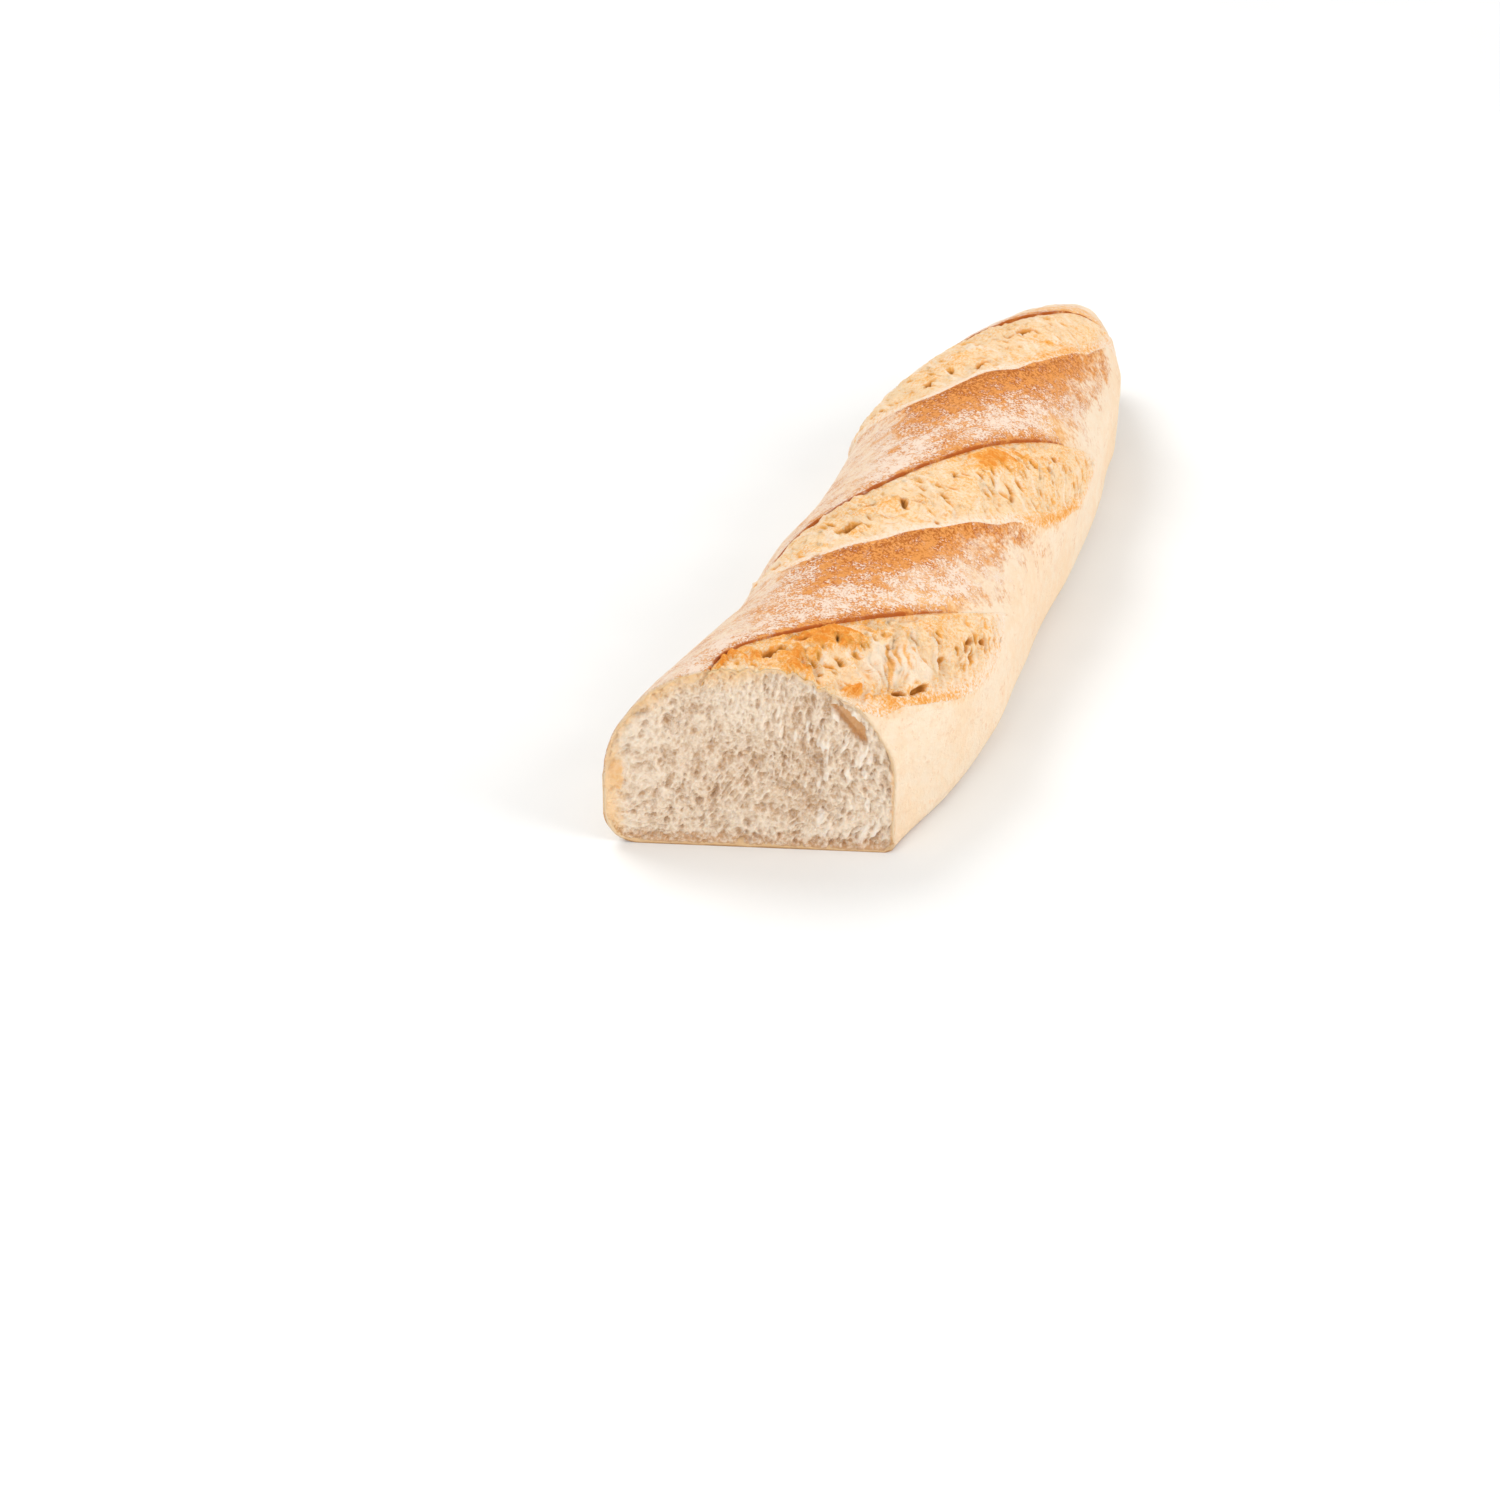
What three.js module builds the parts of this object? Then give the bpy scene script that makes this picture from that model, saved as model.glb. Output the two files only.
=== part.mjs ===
// Baguette with one end cut off: a single solid loaf.
// It lies on its flat base. The cut face is oblique to the loaf, the other end is the
// rounded tip, and three diagonal scores opened in the oven along the top.
// Millimetres, +Z up, +Y from the cut face to the tip, +X to the right seen from the cut.
import * as THREE from 'three';

// Loaf: plan outline and height, at stations along the loaf
const LOAF_LENGTH = 285;
const STATION_STEP = 30;
const LEFT_EDGE = [-36.3, -33, -27.5, -28, -25, -25.5, -26.5, -21, -14, -6];
const RIGHT_EDGE = [35.3, 42.5, 46.3, 46, 45, 45, 44, 41.5, 38, 33];
const HEIGHT = [51.3, 50.5, 50.5, 51, 52, 53, 52, 49.5, 45, 42];
const CREST_SHIFT = [-7, -4, -2, 0, 2, 4, 4, 4, 4, 4];

// Cut: the plane turns back to square over this much of the loaf
const CUT_ANGLE = THREE.MathUtils.degToRad(14.3);
const CUT_FADE = 90;

// Tip: how far back the outline and the height start to close, and how bluntly
const TIP_REACH_WIDTH = 56;
const TIP_REACH_HEIGHT = 62;
const TIP_BLUNTNESS = 2.2;
const TIP_RISE = 0.33;

// Cross-section: base corners, upright side walls and round shoulders
const RIGHT_WALL = 0.42;
const LEFT_WALL = 0.32;
const BASE_CORNER = 9;
const CUT_BASE_CORNER = 2.5;
const CORNER_FADE = 70;

// Scores: where each one crosses the crest, where its opening starts and ends along
// the score, how wide it opened, where it is widest, the stretch that its ear covers,
// and the height of the crags in the opening
const SCORE_ANGLE = THREE.MathUtils.degToRad(34);
const SCORES = [
  { crossing: 17, start: -60, end: 75, width: 37, widest: 3, earStart: -18, earEnd: 58, crags: 2.8 },
  { crossing: 121, start: -66, end: 75, width: 29.5, widest: 0, earStart: -62, earEnd: 58, crags: 1.6 },
  { crossing: 241, start: -92, end: 20, width: 36, widest: -50, earStart: -60, earEnd: 18, crags: 1.6 },
];
const CRAG_SIZE = 8;

// Openings close bluntly towards their start and slimly towards their end
const START_BLUNTNESS = { inner: 5, outer: 0.5 };
const END_BLUNTNESS = { inner: 2, outer: 0.7 };

// Ears: the raised edge of the crust on one side of each opening, with a groove below it
const EAR_TAPER = 26;
const EAR_LIP = 1.2;
const EAR_HEIGHT = 1.5;
const EAR_SPREAD = 7;
const GROOVE_DEPTH = 1.6;
const GROOVE_SPREAD = 4;

// The opening swells in its middle and ends in a soft ridge
const SWELL = 1.6;
const RIDGE_HEIGHT = 1.4;
const RIDGE_SPREAD = 4;

// The scored relief fades in between these shares of the loaf's height
const RELIEF_FROM = 0.25;
const RELIEF_FULL = 0.55;

// Cut face: shallow pits, and the pocket where the torn crust parted from the crumb
const FACE_PIT_DEPTH = 0.7;
const FACE_PIT_SIZE = 7;
const POCKET = { x: 25, z: 38.5, halfLength: 8, halfWidth: 3, depth: 3.5, slope: -1 };

// Mesh: vertices of each part of a half section, stations, rings of the cut face, and how
// far past an ear its edge vertex sits, as a share of the gap to the next one
const BASE_STEPS = 2;
const CORNER_STEPS = 3;
const WALL_STEPS = 4;
const SHOULDER_STEPS = 18;
const BODY_STATIONS = 72;
const TIP_STATIONS = 14;
const FACE_RINGS = 6;
const PAST_EAR = 0.02;

const CRUST_COLOUR = 0xd9a066;

// Smooth curve through equally spaced station values
function along(values, y) {
  const t = THREE.MathUtils.clamp(y / STATION_STEP, 0, values.length - 1);
  const i = Math.min(Math.floor(t), values.length - 2);
  const f = t - i;
  const at = (k) => values[THREE.MathUtils.clamp(k, 0, values.length - 1)];
  const [a, b, c, d] = [at(i - 1), at(i), at(i + 1), at(i + 2)];
  const bend = 2 * a - 5 * b + 4 * c - d + f * (3 * (b - c) + d - a);
  return b + 0.5 * f * (c - a + f * bend);
}

// Share of the full size left at y, closing to nothing at the tip
function closing(y, reach) {
  const q = THREE.MathUtils.clamp(1 - (LOAF_LENGTH - y) / reach, 0, 1);
  return (1 - q ** TIP_BLUNTNESS) ** (1 / TIP_BLUNTNESS);
}

// Repeatable noise on a lattice, from -1 to 1
function lattice(i, j) {
  const s = Math.sin(i * 127.1 + j * 311.7) * 43758.5453;
  return 2 * (s - Math.floor(s)) - 1;
}

function noise(u, v) {
  const i = Math.floor(u);
  const j = Math.floor(v);
  const fu = THREE.MathUtils.smoothstep(u - i, 0, 1);
  const fv = THREE.MathUtils.smoothstep(v - j, 0, 1);
  const near = THREE.MathUtils.lerp(lattice(i, j), lattice(i + 1, j), fu);
  const far = THREE.MathUtils.lerp(lattice(i, j + 1), lattice(i + 1, j + 1), fu);
  return THREE.MathUtils.lerp(near, far, fv);
}

// One half of a cross-section, from the middle of the base to the crest
function halfSection(halfWidth, height, wallTop, corner) {
  const points = [];
  for (let k = 0; k < BASE_STEPS; k += 1) {
    points.push([(k / BASE_STEPS) * (halfWidth - corner), 0]);
  }
  for (let k = 0; k < CORNER_STEPS; k += 1) {
    const turn = (k / CORNER_STEPS) * Math.PI / 2;
    points.push([halfWidth - corner + corner * Math.sin(turn), corner * (1 - Math.cos(turn))]);
  }
  for (let k = 0; k < WALL_STEPS; k += 1) {
    points.push([halfWidth, THREE.MathUtils.lerp(corner, wallTop, k / WALL_STEPS)]);
  }
  for (let k = 0; k <= SHOULDER_STEPS; k += 1) {
    const turn = (k / SHOULDER_STEPS) * Math.PI / 2;
    const z = THREE.MathUtils.lerp(wallTop, height, Math.sin(turn));
    points.push([halfWidth * Math.cos(turn), z]);
  }
  return points;
}

// Closed ring of the smooth loaf at station y, counted from the base to the right.
// arc is the distance from the crest around the loaf, to the right positive.
function ringAt(y) {
  const left = along(LEFT_EDGE, y);
  const right = along(RIGHT_EDGE, y);
  const height = along(HEIGHT, y);
  const middle = (left + right) / 2;
  const crest = middle + along(CREST_SHIFT, y);
  const cornerMix = Math.min(y / CORNER_FADE, 1);
  const corner = THREE.MathUtils.lerp(CUT_BASE_CORNER, BASE_CORNER, cornerMix);
  const rightHalf = halfSection(right - crest, height, RIGHT_WALL * height, corner);
  const leftHalf = halfSection(crest - left, height, LEFT_WALL * height, BASE_CORNER);
  const outline = rightHalf.map(([x, z]) => [crest + x, z]);
  for (let k = leftHalf.length - 2; k > 0; k -= 1) {
    outline.push([crest - leftHalf[k][0], leftHalf[k][1]]);
  }
  const widthShare = closing(y, TIP_REACH_WIDTH);
  const heightShare = closing(y, TIP_REACH_HEIGHT);
  const rise = TIP_RISE * height;
  const slant = Math.tan(CUT_ANGLE) * Math.max(1 - y / CUT_FADE, 0);
  const ring = outline.map(([x, z]) => {
    const px = middle + (x - middle) * widthShare;
    return { point: new THREE.Vector3(px, y + slant * px, rise + (z - rise) * heightShare) };
  });
  const top = rightHalf.length - 1;
  ring[top].arc = 0;
  for (let k = top - 1; k >= 0; k -= 1) {
    ring[k].arc = ring[k + 1].arc + ring[k].point.distanceTo(ring[k + 1].point);
  }
  for (let k = top + 1; k < ring.length; k += 1) {
    ring[k].arc = ring[k - 1].arc - ring[k].point.distanceTo(ring[k - 1].point);
  }
  return ring;
}

// Position on the unrolled crust relative to a score: along it, and across it from its
// ear towards the opening
function scorePlace(score, arc, y) {
  const run = y - score.crossing;
  return {
    place: arc * Math.sin(SCORE_ANGLE) + run * Math.cos(SCORE_ANGLE),
    across: arc * Math.cos(SCORE_ANGLE) - run * Math.sin(SCORE_ANGLE),
  };
}

// Width of a score's opening at a place along the score
function openingWidth(score, place) {
  const toEnd = place > score.widest;
  const reach = toEnd ? score.end - score.widest : score.widest - score.start;
  const share = Math.min(Math.abs(place - score.widest) / reach, 1);
  const { inner, outer } = toEnd ? END_BLUNTNESS : START_BLUNTNESS;
  return score.width * (1 - share ** inner) ** outer;
}

// Share of its full height that a score's ear has at a place along the score
function earShare(score, place) {
  const rising = THREE.MathUtils.smoothstep(place, score.earStart, score.earStart + EAR_TAPER);
  const falling = THREE.MathUtils.smoothstep(place, score.earEnd - EAR_TAPER, score.earEnd);
  return rising * (1 - falling);
}

// Height of the scored crust above the smooth loaf
function scoreRelief(arc, y) {
  let lift = 0;
  for (const score of SCORES) {
    const { place, across } = scorePlace(score, arc, y);
    const open = openingWidth(score, place);
    const ear = earShare(score, place);
    const strength = open / score.width;
    if (across <= 0) {
      lift += EAR_HEIGHT * ear * Math.exp(across / EAR_SPREAD);
    } else if (across < open) {
      const swell = strength * Math.sin(Math.PI * across / open);
      const crag = noise(place / CRAG_SIZE, across / CRAG_SIZE);
      lift -= GROOVE_DEPTH * ear * Math.exp(-across / GROOVE_SPREAD);
      lift += swell * (SWELL + score.crags * crag);
    }
    const ridge = (across - open) / RIDGE_SPREAD;
    lift += RIDGE_HEIGHT * strength * Math.exp(-ridge * ridge);
  }
  return lift;
}

// Slides two neighbours of a ring onto each ear that the ring crosses, one onto its edge
// and one to the foot of its step, so that the step follows the score cleanly
function fitRingToEars(ring) {
  for (const score of SCORES) {
    const across = ring.map(({ point, arc }) => scorePlace(score, arc, point.y).across);
    const before = across.findIndex((value, k) => value > 0 && across[k + 1] <= 0);
    const from = ring[before];
    const to = ring[before + 1];
    if (before < 1 || !earShare(score, scorePlace(score, from.arc, from.point.y).place)) {
      continue;
    }
    const share = across[before] / (across[before] - across[before + 1]);
    const edge = share > 0.5 ? before + 1 : before;
    const towards = to.point.clone().sub(from.point);
    const lip = EAR_LIP / towards.length();
    const at = (mix) => ({
      point: from.point.clone().addScaledVector(towards, mix),
      arc: THREE.MathUtils.lerp(from.arc, to.arc, mix),
    });
    ring[edge] = at(share + PAST_EAR);
    ring[edge - 1] = at(share - lip);
  }
}

// Depth of the cut face below its plane
function faceRelief(x, z) {
  const pits = noise(x / FACE_PIT_SIZE + 5, z / FACE_PIT_SIZE + 9);
  const axis = new THREE.Vector2(1, POCKET.slope).normalize();
  const from = new THREE.Vector2(x - POCKET.x, z - POCKET.z);
  const lengthwise = from.dot(axis) / POCKET.halfLength;
  const crosswise = from.cross(axis) / POCKET.halfWidth;
  const pocket = Math.exp(-(lengthwise ** 2) - crosswise ** 2);
  return FACE_PIT_DEPTH * (0.5 + 0.5 * pits) + POCKET.depth * pocket;
}

// Stations: even along the body, then closer and closer towards the tip
function stations() {
  const tipStart = LOAF_LENGTH - TIP_REACH_HEIGHT / 2;
  const list = [];
  for (let k = 0; k < BODY_STATIONS; k += 1) {
    list.push(tipStart * k / BODY_STATIONS);
  }
  for (let k = 0; k < TIP_STATIONS; k += 1) {
    const turn = (k / TIP_STATIONS) * Math.PI / 2;
    list.push(tipStart + (LOAF_LENGTH - tipStart) * Math.sin(turn));
  }
  return list;
}

// Rings pushed out along their normals by the relief, above the side walls only
function crustRings() {
  const smooth = stations().map(ringAt);
  smooth.forEach(fitRingToEars);
  const count = smooth[0].length;
  return smooth.map((ring, i) => ring.map(({ point, arc }, k) => {
    const ahead = smooth[Math.min(i + 1, smooth.length - 1)][k].point;
    const behind = smooth[Math.max(i - 1, 0)][k].point;
    const next = ring[(k + 1) % count].point;
    const previous = ring[(k - 1 + count) % count].point;
    const normal = ahead.clone().sub(behind).cross(next.clone().sub(previous)).normalize();
    const height = point.z / HEIGHT[0];
    const upper = THREE.MathUtils.smoothstep(height, RELIEF_FROM, RELIEF_FULL);
    const tipShare = closing(point.y, TIP_REACH_WIDTH);
    const lift = scoreRelief(arc, point.y) * upper * tipShare;
    const moved = point.clone();
    moved.addScaledVector(normal, lift);
    if (i === 0) {
      moved.y = Math.tan(CUT_ANGLE) * moved.x;
    }
    return moved;
  }));
}

// Vertices and triangles of the whole closed loaf
function buildLoaf() {
  const rings = crustRings();
  const count = rings[0].length;
  const positions = [];
  const triangles = [];
  const add = (p) => positions.push(p.x, p.y, p.z) / 3 - 1;
  const join = (outer, inner) => {
    for (let k = 0; k < count; k += 1) {
      const n = (k + 1) % count;
      triangles.push(outer[k], inner[k], outer[n], outer[n], inner[k], inner[n]);
    }
  };
  const fan = (ring, centre) => {
    for (let k = 0; k < count; k += 1) {
      triangles.push(ring[(k + 1) % count], ring[k], centre);
    }
  };

  const ids = rings.map((ring) => ring.map(add));
  for (let i = 0; i + 1 < ids.length; i += 1) {
    join(ids[i], ids[i + 1]);
  }
  const lastY = LOAF_LENGTH;
  const tipMiddle = (along(LEFT_EDGE, lastY) + along(RIGHT_EDGE, lastY)) / 2;
  const tip = new THREE.Vector3(tipMiddle, lastY, TIP_RISE * along(HEIGHT, lastY));
  fan(ids[ids.length - 1], add(tip));

  const rim = rings[0];
  const middle = new THREE.Vector3();
  rim.forEach((p) => middle.addScaledVector(p, 1 / count));
  let outer = ids[0];
  for (let r = 1; r < FACE_RINGS; r += 1) {
    const inner = rim.map((p) => {
      const q = p.clone().lerp(middle, r / FACE_RINGS);
      q.y = Math.tan(CUT_ANGLE) * q.x + faceRelief(q.x, q.z);
      return add(q);
    });
    join(inner, outer);
    outer = inner;
  }
  const hub = middle.clone();
  hub.y += faceRelief(hub.x, hub.z);
  const reversed = [...outer].reverse();
  fan(reversed, add(hub));

  const geometry = new THREE.BufferGeometry();
  geometry.setAttribute('position', new THREE.Float32BufferAttribute(positions, 3));
  geometry.setIndex(triangles);
  return geometry;
}

// Origin at the middle of the bounding box's bottom
const geometry = buildLoaf();
geometry.computeBoundingBox();
const box = geometry.boundingBox;
const centre = box.getCenter(new THREE.Vector3());
geometry.translate(-centre.x, -centre.y, -box.min.z);
geometry.computeVertexNormals();

const crust = new THREE.MeshStandardMaterial({ color: CRUST_COLOUR, roughness: 0.8, metalness: 0 });
const baguette = new THREE.Mesh(geometry, crust);
baguette.name = 'baguette';

const model = new THREE.Group();
model.add(baguette);

export default model;
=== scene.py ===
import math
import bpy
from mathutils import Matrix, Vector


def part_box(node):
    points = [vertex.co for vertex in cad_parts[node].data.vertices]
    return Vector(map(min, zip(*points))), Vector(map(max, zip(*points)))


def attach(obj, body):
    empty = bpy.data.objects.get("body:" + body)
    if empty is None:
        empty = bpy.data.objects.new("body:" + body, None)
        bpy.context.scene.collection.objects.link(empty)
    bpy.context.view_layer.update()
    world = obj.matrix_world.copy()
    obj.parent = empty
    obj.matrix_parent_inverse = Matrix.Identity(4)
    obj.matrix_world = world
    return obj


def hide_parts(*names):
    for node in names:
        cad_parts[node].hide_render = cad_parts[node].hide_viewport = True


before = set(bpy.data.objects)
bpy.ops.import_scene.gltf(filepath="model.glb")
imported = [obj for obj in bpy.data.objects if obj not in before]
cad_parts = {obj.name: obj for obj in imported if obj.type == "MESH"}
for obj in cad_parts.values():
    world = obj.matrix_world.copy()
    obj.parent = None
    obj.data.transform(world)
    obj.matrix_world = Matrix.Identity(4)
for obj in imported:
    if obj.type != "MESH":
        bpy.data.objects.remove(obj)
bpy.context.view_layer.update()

# A cut baguette: floury browned crust, three torn openings under raised ears, pale side
# walls, and an open crumb at the cut. Lengths are millimetres until a mesh is made.
from types import SimpleNamespace

import bpy
import numpy as np
from mathutils import Vector

MM = 0.001
TIP_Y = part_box("baguette")[1][1] / MM

# The loaf, as in the CAD model
LOAF_LENGTH = 285
STATION_STEP = 30
LEFT_EDGE = [-36.3, -33, -27.5, -28, -25, -25.5, -26.5, -21, -14, -6]
RIGHT_EDGE = [35.3, 42.5, 46.3, 46, 45, 45, 44, 41.5, 38, 33]
HEIGHT = [51.3, 50.5, 50.5, 51, 52, 53, 52, 49.5, 45, 42]
CREST_SHIFT = [-7, -4, -2, 0, 2, 4, 4, 4, 4, 4]
CUT_SLOPE = math.tan(math.radians(14.3))
CUT_FADE = 90
TIP_REACH_WIDTH = 56
TIP_REACH_HEIGHT = 62
TIP_BLUNTNESS = 2.2
TIP_RISE = 0.33
RIGHT_WALL = 0.42
LEFT_WALL = 0.32
BASE_CORNER = 9
CUT_BASE_CORNER = 2.5
CORNER_FADE = 70

# The scores lie and open as in the CAD model. Here the ears are lower, the grooves are
# shallower, and the first ear runs on to the cut. ear has the places where an ear ends, and
# bend the place where a score curves away, and towards which end. The torn crust thins out
# over the skirt's width towards the ridge.
SCORE_SIN = math.sin(math.radians(34))
SCORE_COS = math.cos(math.radians(34))
SCORES = [
    dict(crossing=17, start=-60, end=75, width=37, widest=3,
         ear=(-36, 58), bend=(-3, -1), rough=1.0, skirt=8),
    dict(crossing=121, start=-66, end=75, width=29.5, widest=0,
         ear=(-62, 58), bend=None, rough=0.45, skirt=4),
    dict(crossing=241, start=-92, end=20, width=36, widest=-50,
         ear=(-60, 18), bend=(2, 1), rough=0.4, skirt=4),
]
EAR_TAPER = 26
EAR_HEIGHT = 0.7
EAR_SPREAD = 7
EAR_OVERHANG = 0.7
GROOVE_DEPTH = 0.3
GROOVE_SPREAD = 4
SWELL = 1.6
RIDGE_HEIGHT = 1.4
RIDGE_SPREAD = 4

# How far the crust drops under the torn crust, and behind the cut there, and how far from
# the crest an opening may lie
RECESS = 5
SUNK_EDGE = 5
CRUST_REACH = 75

# The torn crust runs on under the crust by this much at its ear, at its ridge and, in rows,
# at its ends. Tucks are how far a sheet's rim goes down, back and towards its middle.
UNDER_EAR = 2.6
UNDER_RIDGE = 2.2
ROWS_UNDER_CRUST = 7
TORN_TUCKS = [(0.7, 1.6, 0), (2.0, 4.0, 0), (3.5, 9.0, 0)]

# Larger holes of each opening: place along the score, distance across from the ear,
# half length, half width, turn of the long side from the score in degrees, depth
HOLES = [
    [(-0.3, 9.2, 3.6, 2.2, 20, 2.6), (31.5, 27.3, 3.4, 1.2, 30, 2.8), (25.5, 29.3, 2.4, 0.9, 15, 2.0),
     (27, 13.3, 1.2, 0.8, 60, 1.6), (53, 9.7, 1.2, 0.8, 50, 1.8), (57.9, 9.2, 1.3, 0.9, 50, 1.8),
     (68.4, 7.7, 1.1, 0.7, 40, 1.6), (8, 6.5, 2.4, 0.9, 10, 1.6), (16, 8, 3.0, 0.8, 70, 1.4),
     (42.1, 16.5, 1.2, 0.8, 50, 1.3)],
    [(-38.5, 17.7, 3.9, 2.1, 8, 3.4), (-20.1, 14.3, 2.6, 1.0, 62, 2.2), (-28.7, 11.7, 2.2, 0.8, 15, 1.4),
     (-54.5, 22.9, 1.5, 0.8, 20, 1.8), (-18.5, 27.0, 1.2, 0.8, 60, 1.2), (39.1, 7.2, 1.0, 0.8, 40, 1.8),
     (47, 8.8, 1.2, 0.7, 10, 1.6), (28.6, 10.7, 0.9, 0.7, 30, 1.3), (33.6, 11.1, 1.4, 0.8, 60, 1.4),
     (67.8, 3.0, 1.1, 0.8, 60, 1.5), (-0.9, 10.3, 1.3, 0.6, 60, 1.1), (12.5, 20.5, 1.3, 0.6, 60, 1.1)],
    [(-25.3, 16.4, 3.4, 1.5, 5, 3.2), (-31, 17.6, 1.6, 0.8, 5, 1.8), (-50, 29.0, 3.0, 1.0, 10, 1.8),
     (-69, 27.0, 2.6, 1.1, 15, 1.8), (-59, 25.5, 1.0, 0.8, 40, 1.4), (-16, 14, 1.0, 0.6, 30, 1.2),
     (-18.7, 9.1, 0.9, 0.5, 30, 1.0), (-37.6, 24.5, 0.9, 0.6, 40, 1.0), (-44, 15, 1.0, 0.5, 60, 0.9)],
]

# Crags of each opening, listed as the holes are, with a height instead of a depth
CRAGS = [
    [(12.5, 28.8, 2.6, 1.8, 10, 2.2), (-5.5, 10.5, 2.4, 1.2, 60, 1.2), (4, 12.5, 3.4, 1.4, 70, 1.3),
     (-12, 3.2, 3.4, 1.3, 10, 1.1), (10, 4.5, 5, 1.3, 15, 0.9), (17, 11, 1.5, 4.5, 10, 1.2),
     (20, 25, 1.2, 4.0, 15, 1.2), (38, 22, 1.6, 4.0, 20, 1.0), (22, 31.5, 6, 1.4, 0, 0.9),
     (2, 22, 2, 5, 25, 1.2), (44, 13, 1.4, 4, 20, 0.9)],
    [(-38.5, 20.6, 4.6, 1.0, 8, 0.6), (-20, 12.3, 3, 0.8, 62, 0.4), (12, 15, 1.0, 4, 15, 0.5)],
    [(-25.3, 18.4, 4, 0.8, 5, 0.5), (-46, 20, 5, 1.2, 5, 0.4)],
]

# Toasted patches of each opening: place, distance across, half length, half width, amount
TOASTED = [
    [(-12, 3, 9, 4, 1.0), (10, 4, 18, 5, 0.9), (12.5, 28.8, 4, 3.2, 1.3), (22, 31, 9, 2.6, 0.9),
     (6, 19, 10, 7, 0.6), (-6, 11, 4, 3, 0.8), (36, 5, 16, 5, 0.35), (18, 10, 8, 7, 0.9),
     (0, 13, 10, 8, 0.4), (38, 27, 9, 3, 0.45)],
    [(19, 6.5, 17, 5.5, 1.5), (-22, 15, 11, 3.5, 0.55), (-50, 18, 12, 8, 0.12), (48, 21, 12, 3, 0.5),
     (-38, 21, 6, 3, 0.4)],
    [(-24, 24.6, 4, 2.2, 1.1), (-58, 22, 12, 5, 0.4), (-30, 11, 12, 5, 0.12), (-5, 4, 8, 3, 0.3)],
]

# The white fibres of the nearest opening
FIBRES = dict(place=28, across=19, half_length=12, half_width=7.5, turn=20)

# Browned strips between the openings: where the brown starts and ends, as distances from
# the crest at stations along the loaf
BROWN_STATIONS = [0, 30, 60, 90, 125, 150, 180, 205, 225, 240]
BROWN_LEFT = [-4, -9, -13, -10, -10, -20, -21, -18, -18, -16]
BROWN_RIGHT = [10, 18, 26, 31, 36, 25, 27, 28, 22, 14]

# Cut face: how far the crumb lies inside the crust, inside the torn crust and behind the cut,
# how thick the crust is, the pocket beside the torn crust, the smooth patch at the left, and
# the angles of the crumb's strands at the left and at the right
CRUMB_INSET = 0.2
TORN_INSET = 0.12
CRUMB_BEHIND_CUT = 0.12
CRUST_THICKNESS = 0.55
CRUMB_TUCKS = [(0.9, 0.3, 0), (4.5, 0.5, 0.06)]
POCKET = dict(x=24.2, z=37.4, half_length=7.5, half_width=2.0, depth=3.2, turn=-50)
LEFT_PATCH = dict(x=-32.5, z=20, half_width=1.6, half_height=4.5)
STRAND_LEAN = (52, 86)

# Mesh resolution
CRUST_ROWS = 372
CRUST_COLUMNS = 130
TORN_STEP = 0.26
CRUMB_COLUMNS = 330
CRUMB_ROWS = 285
OUTLINE_POINTS = 900

# The crumb's rows follow its upper edge smoothed over this many columns each way, and only
# the topmost rows follow every notch of it
LEVEL_REACH = 12


# Noise

def lattice(i, j, seed):
    """Repeatable random numbers from 0 to 1 on a lattice."""
    n = i.astype(np.int64) * 374761393 + j.astype(np.int64) * 668265263 + seed * 2246822519
    n = (n ^ (n >> 13)) & 0xFFFFFFFF
    n = (n * 1274126177) & 0xFFFFFFFF
    n = n ^ (n >> 16)
    return (n & 0xFFFF) / 65535.0


def noise(u, v, seed):
    """Smooth noise from -1 to 1."""
    i, j = np.floor(u), np.floor(v)
    fu, fv = u - i, v - j
    fu, fv = fu * fu * (3 - 2 * fu), fv * fv * (3 - 2 * fv)
    near = lattice(i, j, seed) * (1 - fu) + lattice(i + 1, j, seed) * fu
    far = lattice(i, j + 1, seed) * (1 - fu) + lattice(i + 1, j + 1, seed) * fu
    return 2 * (near * (1 - fv) + far * fv) - 1


def fractal(u, v, seed, octaves=4, gain=0.5):
    """Layers of noise, each half the size of the last."""
    total, weight, reach = 0, 1, 0
    for k in range(octaves):
        turn = 0.6 * k
        a = (u * math.cos(turn) - v * math.sin(turn)) * 2 ** k
        b = (u * math.sin(turn) + v * math.cos(turn)) * 2 ** k
        total = total + weight * noise(a + 7.3 * k, b - 3.1 * k, seed + k)
        reach += weight
        weight *= gain
    return total / reach


def cells(u, v, seed):
    """Distance to the nearest of scattered points, and that point's number from 0 to 1."""
    i, j = np.floor(u), np.floor(v)
    nearest = np.full(u.shape, 9.0)
    number = np.zeros(u.shape)
    for di in (-1, 0, 1):
        for dj in (-1, 0, 1):
            a, b = i + di, j + dj
            x = a + 0.1 + 0.8 * lattice(a, b, seed)
            y = b + 0.1 + 0.8 * lattice(a, b, seed + 57)
            distance = np.hypot(x - u, y - v)
            closer = distance < nearest
            number = np.where(closer, lattice(a, b, seed + 91), number)
            nearest = np.where(closer, distance, nearest)
    return nearest, number


def smooth(value, low, high):
    """Smooth step from 0 at low to 1 at high."""
    t = np.clip((value - low) / (high - low), 0, 1)
    return t * t * (3 - 2 * t)


# The smooth loaf

def along(values, y):
    """Smooth curve through equally spaced station values."""
    last = len(values) - 1
    t = min(max(y / STATION_STEP, 0), last)
    i = min(int(t), last - 1)
    f = t - i
    a, b, c, d = (values[min(max(i + k, 0), last)] for k in (-1, 0, 1, 2))
    return b + 0.5 * f * (c - a + f * (2 * a - 5 * b + 4 * c - d + f * (3 * (b - c) + d - a)))


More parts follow.
